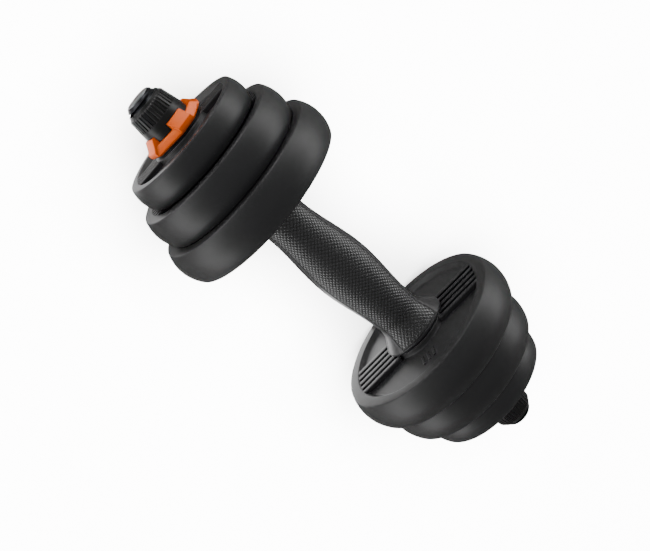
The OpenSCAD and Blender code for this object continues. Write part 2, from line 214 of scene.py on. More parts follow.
def flare_share(x):
    """0 along the grip, rising to 1 over the flare at each end."""
    return min(1.0, max(0.0, (abs(x) - neck_x) / FLARE_LENGTH))


def grip_half(x, sizes):
    """Half of the grip's width or height at x."""
    mid, neck, flare = sizes
    bulge = (1 + math.cos(math.pi * min(1.0, abs(x) / neck_x))) / 2
    rise = 1 - math.cos(math.pi / 2 * flare_share(x))
    return (neck + (mid - neck) * bulge + (flare - neck) * rise) / 2


def grip_point(x, angle, sink=0.0):
    """A point of the grip's outline, or one that lies sink millimetres inside it."""
    a = math.radians(angle)
    y = (grip_half(x, GRIP_WIDE) - sink) * math.cos(a)
    z = (grip_half(x, GRIP_HIGH) - sink) * math.sin(a)
    return (x, y, z)


def pad_edge(x):
    """Angle of the pad's edge: the smooth side opens into a lobe at each flare."""
    return STRIP_ANGLE + (LOBE_ANGLE - STRIP_ANGLE) * flare_share(x) ** LOBE_CURVE


def rounded(distance):
    """How far an edge drops at this distance from its seam."""
    near = max(0.0, 1 - distance / SEAM_SOFTEN)
    return SEAM_DROP * near * near


def smooth(mesh):
    """Shades a mesh smooth, but for its corners."""
    mesh.polygons.foreach_set("use_smooth", [True] * len(mesh.polygons))
    mesh.set_sharp_from_angle(angle=SHARP_ANGLE)


def make_piece(name, points, faces, material):
    """A smooth mesh object from points in millimetres. It is turned the right way out as a
    whole, by its total volume; shells joined in one piece aren't turned one by one."""
    mesh = bpy.data.meshes.new(name)
    mesh.from_pydata((np.asarray(points, float) * MM).tolist(), [], faces)
    mesh.validate()
    mesh.calc_loop_triangles()
    corners = np.array([t.vertices[:] for t in mesh.loop_triangles])
    places = np.array([v.co[:] for v in mesh.vertices])[corners]
    if np.einsum("ij,ij->i", places[:, 0], np.cross(places[:, 1], places[:, 2])).sum() < 0:
        mesh.flip_normals()
    smooth(mesh)
    piece = add_object(name, mesh)
    mesh.materials.append(material)
    return piece


def loft(rings):
    """Faces that join closed rings of equal length, and cap the first and the last."""
    count = len(rings[0])
    last = (len(rings) - 1) * count
    faces = []
    for start in range(0, last, count):
        for j in range(count):
            a, b = start + j, start + (j + 1) % count
            faces.append((a, b, b + count, a + count))
    near = list(range(count))
    far = list(range(last, last + count))
    return faces + [near[::-1], far]


# Glass-filled nylon from a spark-eroded mould: dark grey, satin, with a fine even grain
# that breaks up the highlights a little. The grain is drawn at 0.45 mm, coarser than it
# is, so that it shows; the soft cloud over it is 17 mm across.
moulded_nylon, tree = new_material("moulded_nylon")
place = put(tree, "ShaderNodeTexCoord")
grain = put(
    tree, "ShaderNodeTexNoise", {"Vector": place.outputs["Object"]}, in_Scale=2200.0, in_Detail=2.0)
cloud = put(
    tree, "ShaderNodeTexNoise", {"Vector": place.outputs["Object"]}, in_Scale=60.0, in_Detail=3.0)
tone = put(tree, "ShaderNodeValToRGB", {"Fac": cloud.outputs[0]})
tone.color_ramp.elements[0].color = hex_colour("#161617")
tone.color_ramp.elements[1].color = hex_colour("#1e1e1f")
gloss = put(tree, "ShaderNodeMapRange", {"Value": cloud.outputs[0]}, in_3=0.34, in_4=0.44)
relief = put(
    tree, "ShaderNodeBump", {"Height": grain.outputs[0]}, in_Strength=0.12, in_Distance=0.0001)
shader = put(
    tree, "ShaderNodeBsdfPrincipled",
    {"Base Color": tone.outputs[0], "Roughness": gloss.outputs[0], "Normal": relief.outputs[0]},
    in_IOR=1.53, in_Specular_IOR_Level=0.5)
finish_material(tree, shader)

STATIONS = 84
SIDE_STEPS = 12
BED_STEPS = 28
BORE_STEPS = 20
CROWDING = 0.35      # 0 would space the points of a side evenly
STEP = 0.001         # the run of a square step along the bar
# Past the bed's end, and in from the grip's end: how far along, and how far the skin drops.
BED_END_EDGE = ((STEP, SEAM_DROP), (0.2, 0.12), (SEAM_SOFTEN, 0))
GRIP_END_EDGE = ((0.9, 0), (0.5, 0.1), (0.2, 0.35), (0, 0.8))


def eased(count, end):
    """Values from 0 to end, closer together near both ends."""
    shares = [i / count for i in range(count + 1)]
    return [end * (s - CROWDING * math.sin(2 * math.pi * s) / math.pi) for s in shares]


def shell_ring(x, bed, seat_r, drop):
    """One closed ring round the upper shell's section: the skin, then back along the bore."""
    edge = pad_edge(x)
    arc = math.radians(1) * (grip_half(x, GRIP_WIDE) + grip_half(x, GRIP_HIGH)) / 2
    side = []
    for a in eased(SIDE_STEPS, edge):
        fall = rounded(a * arc) + (rounded((edge - a) * arc) if bed else 0)
        side.append((a, fall + drop))
    floor_sink = PAD_THICK if bed else drop
    bed_angles = [edge + (180 - 2 * edge) * i / BED_STEPS for i in range(BED_STEPS + 1)]
    ring = [grip_point(x, a, s) for a, s in side]
    ring += [grip_point(x, a, floor_sink) for a in bed_angles]
    ring += [grip_point(x, 180 - a, s) for a, s in side[::-1]]
    for i in range(BORE_STEPS + 1):
        a = math.pi * (1 - i / BORE_STEPS)
        ring.append((x, seat_r * math.cos(a), seat_r * math.sin(a)))
    return ring


def grip_rings():
    """Rings from one end of the grip to the other, with a step at each bed's and seat's end."""
    half = [(0, True, BAR_SEAT, 0)]
    for i in range(1, STATIONS // 2 + 1):
        x = pad_end * i / (STATIONS // 2)
        if half[-1][0] < collar_in <= x:
            half += [(collar_in, True, BAR_SEAT, 0), (collar_in + STEP, True, COLLAR_SEAT, 0)]
        half.append((x, True, COLLAR_SEAT if x > collar_in else BAR_SEAT, 0))
    half += [(pad_end + past, False, COLLAR_SEAT, drop) for past, drop in BED_END_EDGE]
    half += [(grip_end - back, False, COLLAR_SEAT, drop) for back, drop in GRIP_END_EDGE]
    other_half = [(-h[0],) + h[1:] for h in half[:0:-1]]
    return [shell_ring(x, bed, seat, drop) for x, bed, seat, drop in other_half + half]


upper = grip_rings()
for half, turn in (("upper", 1), ("lower", -1)):
    rings = [[(x, turn * y, turn * z) for x, y, z in ring] for ring in upper]
    points = [p for ring in rings for p in ring]
    piece = make_piece(f"grip_shell_skin_{half}", points, loft(rings), moulded_nylon)
    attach(piece, "handle")
    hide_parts(f"grip_shell_{half}")

# ---- Grip: pads ----
# Two curved sheets of firm black rubber, one above and one below, moulded with a cut
# diamond pattern and bonded into the beds of the shells with a fine line round them.
KNURL_PITCH = 2.0
KNURL_DEPTH = 0.22
PAD_STATIONS = 420
PAD_ACROSS = 160
PAD_UNDER = 20
PAD_GAP = 0.12       # between the pad's edge and its bed's
PAD_SINK = 0.12      # how far the pad's top lies inside the grip's outline
PAD_LIFT = 0.02      # how far its underside lies above the bed
PAD_ROUND = 0.5      # how far from its edge the top starts to round over
PAD_DROP = 0.3       # how far it has dropped at the edge
PLAIN_RIM = 0.3      # no pattern this near the edge
PLAIN_EDGE = 0.9     # and it grows to its full height over this much more
KNURL_FLOOR = 0.04   # share of the pitch at which a groove's flat floor ends
KNURL_TOP = 0.22     # and at which a diamond's worn top begins
PAD_END_SHARES = (0.996, 0.9985, 1)     # more stations, where the ends round over


def keep_mesh(name, source):
    """The evaluated source as a plain mesh object; the source goes."""
    source.update_tag()
    graph = bpy.context.evaluated_depsgraph_get()
    mesh = bpy.data.meshes.new_from_object(source.evaluated_get(graph))
    bpy.data.objects.remove(source)
    piece = add_object(name, mesh)
    smooth(mesh)
    return piece


def grow(name, source, tree, **inputs):
    """Runs a node tree on a source object and keeps the result as a plain mesh."""
    modifier = source.modifiers.new("grow", "NODES")
    modifier.node_group = tree
    for item in tree.interface.items_tree:
        if item.in_out == "INPUT" and item.name in inputs:
            modifier[item.identifier] = inputs[item.name]
    return keep_mesh(name, source)


def new_growth(name, **sizes):
    """A geometry tree with a geometry, the named sizes and a material as its inputs."""
    tree = bpy.data.node_groups.new(name, "GeometryNodeTree")
    tree.interface.new_socket("Geometry", in_out="INPUT", socket_type="NodeSocketGeometry")
    for label, value in sizes.items():
        kind = "NodeSocketInt" if isinstance(value, int) else "NodeSocketFloat"
        socket = tree.interface.new_socket(label, in_out="INPUT", socket_type=kind)
        socket.default_value = value
    tree.interface.new_socket("Finish", in_out="INPUT", socket_type="NodeSocketMaterial")
    tree.interface.new_socket("Geometry", in_out="OUTPUT", socket_type="NodeSocketGeometry")
    given = put(tree, "NodeGroupInput")
    return tree, given


def end_growth(tree, given, result):
    """Every tree ends in real geometry with its material set."""
    real = put(tree, "GeometryNodeRealizeInstances", {"Geometry": result})
    painted = put(
        tree, "GeometryNodeSetMaterial",
        {"Geometry": real.outputs[0], "Material": given.outputs["Finish"]})
    put(tree, "NodeGroupOutput", {"Geometry": painted.outputs[0]})


# The cutter that made the mould ran both ways at 45 degrees to the bar, so the height
# over the pad is the lower of two folded ramps, with its top worn flat.
knurl_tree, given = new_growth("diamond_pattern", Pitch=KNURL_PITCH, Depth=KNURL_DEPTH * MM)
place = put(
    knurl_tree, "GeometryNodeInputNamedAttribute", data_type="FLOAT_VECTOR", in_Name="knurl")
part = put(knurl_tree, "ShaderNodeSeparateXYZ", {"Vector": place.outputs[0]})
ramps = []
for way in ("ADD", "SUBTRACT"):
    across = put(
        knurl_tree, "ShaderNodeMath", {0: part.outputs["X"], 1: part.outputs["Y"]}, operation=way)
    turns = put(
        knurl_tree, "ShaderNodeMath", {0: across.outputs[0], 1: given.outputs["Pitch"]},
        operation="DIVIDE")
    slant = put(
        knurl_tree, "ShaderNodeMath", {0: turns.outputs[0]}, operation="MULTIPLY",
        in_1=math.sqrt(0.5))
    ramps.append(put(
        knurl_tree, "ShaderNodeMath", {0: slant.outputs[0]}, operation="PINGPONG", in_1=0.5))
lower = put(
    knurl_tree, "ShaderNodeMath", {0: ramps[0].outputs[0], 1: ramps[1].outputs[0]},
    operation="MINIMUM")
worn = put(
    knurl_tree, "ShaderNodeMapRange", {"Value": lower.outputs[0]}, interpolation_type="SMOOTHSTEP",
    in_1=KNURL_FLOOR, in_2=KNURL_TOP)
edged = put(
    knurl_tree, "ShaderNodeMath", {0: worn.outputs[0], 1: part.outputs["Z"]}, operation="MULTIPLY")
height = put(
    knurl_tree, "ShaderNodeMath", {0: edged.outputs[0], 1: given.outputs["Depth"]},
    operation="MULTIPLY")
normal = put(knurl_tree, "GeometryNodeInputNormal")
lift = put(
    knurl_tree, "ShaderNodeVectorMath", {0: normal.outputs[0], "Scale": height.outputs[0]},
    operation="SCALE")
# The height is also kept as relief, which the rubber's colour reads for its painted shade.
noted = put(
    knurl_tree, "GeometryNodeStoreNamedAttribute",
    {"Geometry": given.outputs["Geometry"], "Value": edged.outputs[0]}, data_type="FLOAT",
    domain="POINT", in_Name="relief")
raised = put(
    knurl_tree, "GeometryNodeSetPosition",
    {"Geometry": noted.outputs[0], "Offset": lift.outputs[0]})
end_growth(knurl_tree, given, raised.outputs[0])

# Natural-rubber compound from a machined mould: near black and satin; the flat tops of the diamonds
# shine a little more than the cut grooves. Its colour follows the relief and darkens where it is
# low: painted shade down in the grooves and along the pad's plain rim. The speck is drawn at 1.1
# mm, coarser than it is, so that it shows.
diamond_rubber, tree = new_material("diamond_rubber")
place = put(tree, "ShaderNodeTexCoord")
speck = put(
    tree, "ShaderNodeTexNoise", {"Vector": place.outputs["Object"]}, in_Scale=900.0, in_Detail=2.0)
height = put(tree, "ShaderNodeAttribute", attribute_name="relief")
# Painted shade: near black where the relief is low, in the grooves and along the plain rim.
tone = put(tree, "ShaderNodeValToRGB", {"Fac": height.outputs["Fac"]})
tone.color_ramp.elements[0].color = hex_colour("#050505")
tone.color_ramp.elements[1].color = hex_colour("#1f1f20")
gloss = put(tree, "ShaderNodeMapRange", {"Value": height.outputs["Fac"]}, in_3=0.7, in_4=0.22)
relief = put(
    tree, "ShaderNodeBump", {"Height": speck.outputs[0]}, in_Strength=0.1, in_Distance=0.0001)
shader = put(
    tree, "ShaderNodeBsdfPrincipled",
    {"Base Color": tone.outputs[0], "Roughness": gloss.outputs[0], "Normal": relief.outputs[0]},
    in_IOR=1.52, in_Specular_IOR_Level=0.8)
finish_material(tree, shader)


def pad_rings():
    """Rings round the pad's section along the grip, and each point's place on the pattern."""
    rings, pattern = [], []
    end = pad_end - PAD_GAP
    shares = {2 * i / PAD_STATIONS - 1 for i in range(1, PAD_STATIONS)}
    shares.update(way * share for share in PAD_END_SHARES for way in (-1, 1))
    for x in sorted({end * share for share in shares}):
        radius = (grip_half(x, GRIP_WIDE) + grip_half(x, GRIP_HIGH)) / 2
        arc = math.radians(1) * radius
        edge = pad_edge(x) + PAD_GAP / arc
        from_end = end - abs(x)
        ring, places = [], []
        for i in range(PAD_ACROSS + 1):
            share = i / PAD_ACROSS
            a = edge + (180 - 2 * edge) * share
            inside = min(min(a - edge, 180 - edge - a) * arc, from_end)
            near = max(0.0, 1 - inside / PAD_ROUND)
            ring.append(grip_point(x, a, PAD_DROP * near * near + PAD_SINK))
            strength = min(1.0, max(0.0, (inside - PLAIN_RIM) / PLAIN_EDGE))
            places.append((x, (a - 90) * arc, strength))
        for i in range(PAD_UNDER, -1, -1):
            a = edge + (180 - 2 * edge) * i / PAD_UNDER
            ring.append(grip_point(x, a, PAD_THICK - PAD_LIFT))
            places.append((x, 0.0, 0.0))
        rings.append(ring)
        pattern += places
    return rings, pattern


rings, pattern = pad_rings()
for half, turn in (("upper", 1), ("lower", -1)):
    points = [(x, turn * y, turn * z) for ring in rings for x, y, z in ring]
    blank = make_piece("pad_blank", points, loft(rings), diamond_rubber)
    marks = blank.data.attributes.new("knurl", "FLOAT_VECTOR", "POINT")
    marks.data.foreach_set("vector", np.array(pattern, np.float32).ravel())
    piece = grow(
        f"grip_pad_diamonds_{half}", blank, knurl_tree, Pitch=KNURL_PITCH, Depth=KNURL_DEPTH * MM,
        Finish=diamond_rubber)
    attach(piece, "handle")
    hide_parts(f"grip_pad_{half}")

# ---- Bar and stop collars ----
# One length of bright steel bar, turned to size and faced at its ends; the collars that
# stop the large plates are pressed on inside the flares and zinc plated.
SIDES = ("left", "right")
GLOSS_SPREAD = 0.06     # how far the roughness strays over a turned metal's rings


def finish_node(name, material):
    """Gives a carried-over node its material."""
    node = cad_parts[name]
    node.data.materials.clear()
    node.data.materials.append(material)


def turned_metal(name, dark, light, rough, pitch_mm):
    """Metal cut on a lathe: fine rings run round the bar, on its faces and along its length."""
    material, tree = new_material(name)
    place = put(tree, "ShaderNodeTexCoord")
    part = put(tree, "ShaderNodeSeparateXYZ", {"Vector": place.outputs["Object"]})
    flat = put(tree, "ShaderNodeCombineXYZ", {"X": part.outputs["Y"], "Y": part.outputs["Z"]})
    out = put(tree, "ShaderNodeVectorMath", {0: flat.outputs[0]}, operation="LENGTH")
    spot = put(tree, "ShaderNodeCombineXYZ", {"X": part.outputs["X"], "Y": out.outputs["Value"]})
    marks = put(
        tree, "ShaderNodeTexNoise", {"Vector": spot.outputs[0]}, in_Scale=1000.0 / pitch_mm,
        in_Detail=2.0)
    tone = put(tree, "ShaderNodeValToRGB", {"Fac": marks.outputs[0]})
    tone.color_ramp.elements[0].color = hex_colour(dark)
    tone.color_ramp.elements[1].color = hex_colour(light)
    gloss = put(
        tree, "ShaderNodeMapRange", {"Value": marks.outputs[0]}, in_3=rough - GLOSS_SPREAD,
        in_4=rough + GLOSS_SPREAD)
    relief = put(
        tree, "ShaderNodeBump", {"Height": marks.outputs[0]}, in_Strength=0.15, in_Distance=0.00005)
    shader = put(
        tree, "ShaderNodeBsdfPrincipled",
        {"Base Color": tone.outputs[0], "Roughness": gloss.outputs[0], "Normal": relief.outputs[0]},
        in_Metallic=1.0)
    finish_material(tree, shader)
    return material


# Bright drawn steel, faced on a lathe. The real feed marks are about 0.15 mm apart; they
# are drawn at 0.4 mm so that they show as a faint satin across the bright end.
bright_steel = turned_metal("bright_steel", "#a2a3a5", "#bdbec0", rough=0.5, pitch_mm=0.4)

# Bright zinc over turned mild steel, on the collars and the plates' bushes: a greyer,
# slightly blue metal that blurs the lathe's rings, drawn here at 0.6 mm.
zinc_plate = turned_metal("zinc_plate", "#8e9296", "#abafb3", rough=0.4, pitch_mm=0.6)
finish_node("bar", bright_steel)
for side in SIDES:
    finish_node(f"stop_collar_{side}", zinc_plate)

# ---- Threaded sleeves ----
# A steel sleeve on each bar end with a rolled round thread, black oxided and oiled. The
# thread is right-handed at both ends, so one end is the other turned half round.
PITCH = 6.0
THREAD_DEPTH = 2.0
CREST_R = 11.0
NOSE_R = 8.8
NOSE_LENGTH = 2.6
SEAT_R = 8.03
PLAIN_SEAT = 22.2
THREAD_STEP = 0.4       # along the bar
THREAD_ROUND = 60       # steps round it
ON_CREST = 0.01         # a point this near the crest is part of the thread
large_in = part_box("thread_sleeve_right")[0].x / MM
sleeve_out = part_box("thread_sleeve_right")[1].x / MM
thread_in = large_in + PLAIN_SEAT


def closed_faces(rows, steps):
    """Faces between closed rings of equal length, the last joined back to the first."""
    faces = []
    for i in range(rows):
        k = (i + 1) % rows
        for j in range(steps):
            m = (j + 1) % steps
            faces.append((i * steps + j, i * steps + m, k * steps + m, k * steps + j))
    return faces


def turned(profile, steps, radius=None):
    """Points and faces of a closed profile of (x, r) carried round the bar. radius gives r
    where it changes round the bar."""
    points = []
    for x, r in profile:
        for j in range(steps):
            a = 2 * math.pi * j / steps
            reach = radius(x, r, a) if radius else r
            points.append((x, reach * math.cos(a), reach * math.sin(a)))
    return points, closed_faces(len(profile), steps)


def to_side(points, side):
    """Right-hand points at their side: the left end is the right end turned half round."""
    turn = -1 if side == "left" else 1
    return [(turn * x, turn * y, z) for x, y, z in points]


def thread_radius(x, r, a):
    """The rounded thread: it fades in after the plain seat, and the end is chamfered."""
    if r < CREST_R - ON_CREST:
        return r
    share = min(1.0, max(0.0, (x - thread_in) / (PITCH / 2)))
    share *= min(1.0, max(0.0, (sleeve_out - x) / NOSE_LENGTH))
    groove = THREAD_DEPTH / 2 * (1 - math.cos(2 * math.pi * x / PITCH - a))
    nose = NOSE_R + (CREST_R - NOSE_R) * (sleeve_out - x) / NOSE_LENGTH
    return min(CREST_R - share * groove, nose)


# Black oxide over a rolled thread: nearly black and a little oily, with fine streaks
# 0.4 mm apart and 8 mm long that follow the rolling round the bar.
black_oxide, tree = new_material("black_oxide")
place = put(tree, "ShaderNodeTexCoord")
streaks = put(
    tree, "ShaderNodeMapping", {"Vector": place.outputs["Object"]}, in_Scale=(2600.0, 120.0, 120.0))
rolling = put(
    tree, "ShaderNodeTexNoise", {"Vector": streaks.outputs[0]}, in_Scale=1.0, in_Detail=2.0)
tone = put(tree, "ShaderNodeValToRGB", {"Fac": rolling.outputs[0]})
tone.color_ramp.elements[0].color = hex_colour("#17181a")
tone.color_ramp.elements[1].color = hex_colour("#2b2c2f")
gloss = put(tree, "ShaderNodeMapRange", {"Value": rolling.outputs[0]}, in_3=0.3, in_4=0.45)
shader = put(
    tree, "ShaderNodeBsdfPrincipled",
    {"Base Color": tone.outputs[0], "Roughness": gloss.outputs[0]}, in_Metallic=0.85)
finish_material(tree, shader)

count = int((sleeve_out - large_in) / THREAD_STEP)
outside = [(large_in + (sleeve_out - large_in) * i / count, CREST_R) for i in range(count + 1)]
profile = outside + [(sleeve_out, SEAT_R), (large_in, SEAT_R)]
points, faces = turned(profile, THREAD_ROUND, thread_radius)
for side in SIDES:
    piece = make_piece(f"rolled_thread_{side}", to_side(points, side), faces, black_oxide)
    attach(piece, "handle")
    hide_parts(f"thread_sleeve_{side}")

# ---- Plates ----
# Three discs a side, cast in iron and moulded over with satin black rubber. Each has a
# barrel rim, a dished face, a flush ring round its steel bush and a ribbed band across.
PLATES = {
    "large": dict(rim=63.65, bulge=3.5, flat=6.95, band=29.0, ribs=5, turn=13.0, marks=3),
    "medium": dict(rim=56.05, bulge=2.85, flat=6.2, band=23.0, ribs=5, turn=0.0, marks=2),
    "small": dict(rim=45.7, bulge=2.1, flat=4.6, band=18.0, ribs=6, turn=-4.0, marks=1),
}
BUSH_R = 15.0
BUSH_CLEARANCE = 0.02
HUB_R = 21.0
RECESS_DEPTH = 3.4
RECESS_SLOPE = 3.0
SKIN_THICK = 2.0
RIB_DEPTH = 1.3
RIB_SINK = 0.3
GROOVE_SHARE = 0.42
GROOVE_FROM = 0.3     # the painted shade starts this far down, and in from the band's edge
RIM_STEPS = 192       # round the plate
CORE_STEPS = 96
BARREL_STEPS = 16     # across the rim
ALMOST_STRAIGHT = math.radians(88)      # half a corner's angle, past which it isn't rounded
FILLET_ROOM = 0.45                      # of its shorter side that a corner may take up

# Ribs, bed and marks: their sections, and how far they run on where they meet something.
RIB_ROOT = 1.0        # the ribs go this far down into the bed
RIB_ROUNDING = 0.55
BED = dict(Count=1, Spacing=1.0, Height=3.0, Rounding=0.3)
BED_INSET = 0.1       # how much narrower the bed is than the band
IN_HUB = 3.0          # ribs and bed start this far inside the hub
IN_RIM = 1.0          # and end this far inside the face ring
MARK = dict(Spacing=4.4, Width=2.0, Height=1.6, Rounding=0.4)
MARK_HALF = 4.5       # half a mark's length
MARK_INWARD = 1.5     # from the middle of the recess towards the hub
MARK_STANDS = 0.6     # above the recess


def filleted(corners, arc_steps=4):
    """A closed outline of (a, b, radius) corners, each rounded to its radius."""
    outline = []
    for i, (a, b, radius) in enumerate(corners):
        here = np.array([a, b])
        to_last = np.array(corners[i - 1][:2]) - here
        to_next = np.array(corners[(i + 1) % len(corners)][:2]) - here
        lengths = [np.linalg.norm(to_last), np.linalg.norm(to_next)]
        u, v = to_last / lengths[0], to_next / lengths[1]
        half = math.acos(max(-1.0, min(1.0, float(u @ v)))) / 2
        if radius <= 0 or half > ALMOST_STRAIGHT:
            outline.append((a, b))
            continue
        back = min(radius / math.tan(half), FILLET_ROOM * min(lengths))
        real = back * math.tan(half)
        middle = here + (u + v) / np.linalg.norm(u + v) * real / math.sin(half)
        start, stop = here + u * back - middle, here + v * back - middle
        spread = math.pi - 2 * half
        for k in range(arc_steps + 1):
            t = k / arc_steps
            swung = math.sin((1 - t) * spread) * start + math.sin(t * spread) * stop
            point = middle + swung / math.sin(spread)
            outline.append((float(point[0]), float(point[1])))
    return outline


def plate_outline(size, wide):
    """Outline of the rubber, (along, out), centred on the plate."""
    rim, bulge, flat = (PLATES[size][k] for k in ("rim", "bulge", "flat"))
    half = wide / 2
    face = rim - bulge
    recess = face - flat
    barrel = (half * half + bulge * bulge) / (2 * bulge)
    open_angle = math.asin(half / barrel)
    # Corners from the bush out to the rim: along, out, and how round.
    side = [
        (half, BUSH_R + BUSH_CLEARANCE, 0.3),
        (half, HUB_R, 0.6),
        (half - RECESS_DEPTH, HUB_R + 0.5, 0.9),
        (half - RECESS_DEPTH, recess - RECESS_SLOPE, 3.2),
        (half, recess, 0.8),
        (half, face, 1.1),
    ]
    arc = [open_angle * (1 - 2 * i / BARREL_STEPS) for i in range(1, BARREL_STEPS)]
    rim_points = [(barrel * math.sin(a), rim - barrel + barrel * math.cos(a), 0) for a in arc]
    return filleted(side + rim_points + [(-a, b, r) for a, b, r in side[::-1]])


def core_outline(size, wide):
    """The room for the iron inside the rubber."""
    rim, bulge, flat = (PLATES[size][k] for k in ("rim", "bulge", "flat"))
    rim_half = wide / 2 - SKIN_THICK
    web_half = rim_half - RECESS_DEPTH
    inner = BUSH_R + BUSH_CLEARANCE
    rim_in = rim - bulge - flat + SKIN_THICK / 2
    rim_out = rim - bulge - SKIN_THICK / 2
    half = [(web_half, inner), (web_half, rim_in), (rim_half, rim_in), (rim_half, rim_out)]
    return half + [(-a, b) for a, b in half[::-1]]


# A row of like bars, each a rounded strip that runs out from the hub, set side by side
# across the band. It makes the ribs, the bed that they stand on, and the size marks.
bar_row, given = new_growth(
    "row_of_bars", Count=5, Spacing=0.006, Width=0.004, Height=0.002, Rounding=0.0005, Start=0.02,
    End=0.05, Face=0.012)
start = put(bar_row, "ShaderNodeCombineXYZ", {"Y": given.outputs["Start"]})
end = put(bar_row, "ShaderNodeCombineXYZ", {"Y": given.outputs["End"]})
line = put(
    bar_row, "GeometryNodeCurvePrimitiveLine", {"Start": start.outputs[0], "End": end.outputs[0]})
section = put(
    bar_row, "GeometryNodeCurvePrimitiveQuadrilateral",
    {"Width": given.outputs["Height"], "Height": given.outputs["Width"]})
round_section = put(
    bar_row, "GeometryNodeFilletCurve",
    {"Curve": section.outputs[0], "Radius": given.outputs["Rounding"]}, mode="POLY", in_Count=3)
strip = put(
    bar_row, "GeometryNodeCurveToMesh",
    {"Curve": line.outputs[0], "Profile Curve": round_section.outputs[0]}, in_Fill_Caps=True)
gaps = put(bar_row, "ShaderNodeMath", {0: given.outputs["Count"]}, operation="SUBTRACT", in_1=1.0)
span = put(
    bar_row, "ShaderNodeMath", {0: gaps.outputs[0], 1: given.outputs["Spacing"]},
    operation="MULTIPLY")
first = put(bar_row, "ShaderNodeMath", {0: span.outputs[0]}, operation="MULTIPLY", in_1=-0.5)
half_height = put(
    bar_row, "ShaderNodeMath", {0: given.outputs["Height"]}, operation="MULTIPLY", in_1=-0.5)
level = put(
    bar_row, "ShaderNodeMath", {0: given.outputs["Face"], 1: half_height.outputs[0]},
    operation="ADD")
origin = put(bar_row, "ShaderNodeCombineXYZ", {"X": level.outputs[0], "Z": first.outputs[0]})
step = put(bar_row, "ShaderNodeCombineXYZ", {"Z": given.outputs["Spacing"]})
places = put(
    bar_row, "GeometryNodeMeshLine",
    {"Count": given.outputs["Count"], "Start Location": origin.outputs[0],
     "Offset": step.outputs[0]},
    mode="OFFSET")
row = put(
    bar_row, "GeometryNodeInstanceOnPoints",
    {"Points": places.outputs[0], "Instance": strip.outputs[0]})
halves = put(
    bar_row, "GeometryNodeTransform", {"Geometry": row.outputs[0]}, in_Rotation=(math.pi, 0, 0))
one_face = put(bar_row, "GeometryNodeJoinGeometry", {"Geometry": row.outputs[0]})
bar_row.links.new(halves.outputs[0], one_face.inputs[0])
other_face = put(
    bar_row, "GeometryNodeTransform", {"Geometry": one_face.outputs[0]},
    in_Rotation=(0, 0, math.pi))
both = put(bar_row, "GeometryNodeJoinGeometry", {"Geometry": one_face.outputs[0]})
bar_row.links.new(other_face.outputs[0], both.inputs[0])
end_growth(bar_row, given, both.outputs[0])


def bars(across, **sizes):
    """Points and faces of a row of bars, both ways from the hub and on both faces, turned
    across degrees round the bar."""
    blank = add_object("blank", bpy.data.meshes.new("blank"))
    inputs = {k: v if isinstance(v, int) else v * MM for k, v in sizes.items()}
    made = grow("bars", blank, bar_row, **inputs)
    c, s = math.cos(math.radians(across)), math.sin(math.radians(across))
    places = [v.co for v in made.data.vertices]
    points = [(x / MM, (y * c - z * s) / MM, (y * s + z * c) / MM) for x, y, z in places]
    faces = [tuple(p.vertices) for p in made.data.polygons]
    bpy.data.objects.remove(made)
    return points, faces


def together(*shapes):
    """Several shapes of points and faces as one."""
    points, faces = [], []
    for more_points, more_faces in shapes:
        faces += [tuple(i + len(points) for i in face) for face in more_faces]
        points += more_points
    return points, faces


def in_grooves(points, faces, first, shape, rib_top):
    """Which faces from the first on are down between the ribs: the bed and the ribs' sides."""
    turn = math.radians(shape["turn"])
    found = []
    for i in range(first, len(faces)):
        x, y, z = np.mean([points[j] for j in faces[i]], axis=0)
        across = abs(z * math.cos(turn) - y * math.sin(turn))
        if abs(x) < rib_top - GROOVE_FROM and across < shape["band"] / 2 - GROOVE_FROM:
            found.append(i)
    return found


# Moulded rubber over iron: charcoal and satin, with a fine pebble from the blasted mould
# and a soft bloom in patches 40 mm across. The pebble is drawn at 0.6 mm, coarser than it
# is, so that it shows.
satin_rubber, tree = new_material("satin_rubber")
place = put(tree, "ShaderNodeTexCoord")
pebble = put(
    tree, "ShaderNodeTexNoise", {"Vector": place.outputs["Object"]}, in_Scale=1600.0, in_Detail=2.0)
bloom = put(
    tree, "ShaderNodeTexNoise", {"Vector": place.outputs["Object"]}, in_Scale=26.0, in_Detail=4.0)
tone = put(tree, "ShaderNodeValToRGB", {"Fac": bloom.outputs[0]})
tone.color_ramp.elements[0].color = hex_colour("#121213")
tone.color_ramp.elements[1].color = hex_colour("#19191a")
gloss = put(tree, "ShaderNodeMapRange", {"Value": bloom.outputs[0]}, in_3=0.4, in_4=0.5)
relief = put(
    tree, "ShaderNodeBump", {"Height": pebble.outputs[0]}, in_Strength=0.1, in_Distance=0.0001)
shader = put(
    tree, "ShaderNodeBsdfPrincipled",
    {"Base Color": tone.outputs[0], "Roughness": gloss.outputs[0], "Normal": relief.outputs[0]},
    in_IOR=1.5, in_Specular_IOR_Level=0.45)
finish_material(tree, shader)

# The same rubber, rougher, with its colour painted near black down between the ribs: painted shade
# in the grooves.
painted_shade_groove_rubber, tree = new_material("painted_shade_groove_rubber")
place = put(tree, "ShaderNodeTexCoord")
pebble = put(
    tree, "ShaderNodeTexNoise", {"Vector": place.outputs["Object"]}, in_Scale=1600.0, in_Detail=2.0)
tone = put(tree, "ShaderNodeValToRGB", {"Fac": pebble.outputs[0]})
tone.color_ramp.elements[0].color = hex_colour("#020202")
tone.color_ramp.elements[1].color = hex_colour("#060606")
relief = put(
    tree, "ShaderNodeBump", {"Height": pebble.outputs[0]}, in_Strength=0.2, in_Distance=0.0001)
shader = put(
    tree, "ShaderNodeBsdfPrincipled", {"Base Color": tone.outputs[0], "Normal": relief.outputs[0]},
    in_Roughness=0.75, in_IOR=1.5, in_Specular_IOR_Level=0.15)
finish_material(tree, shader)

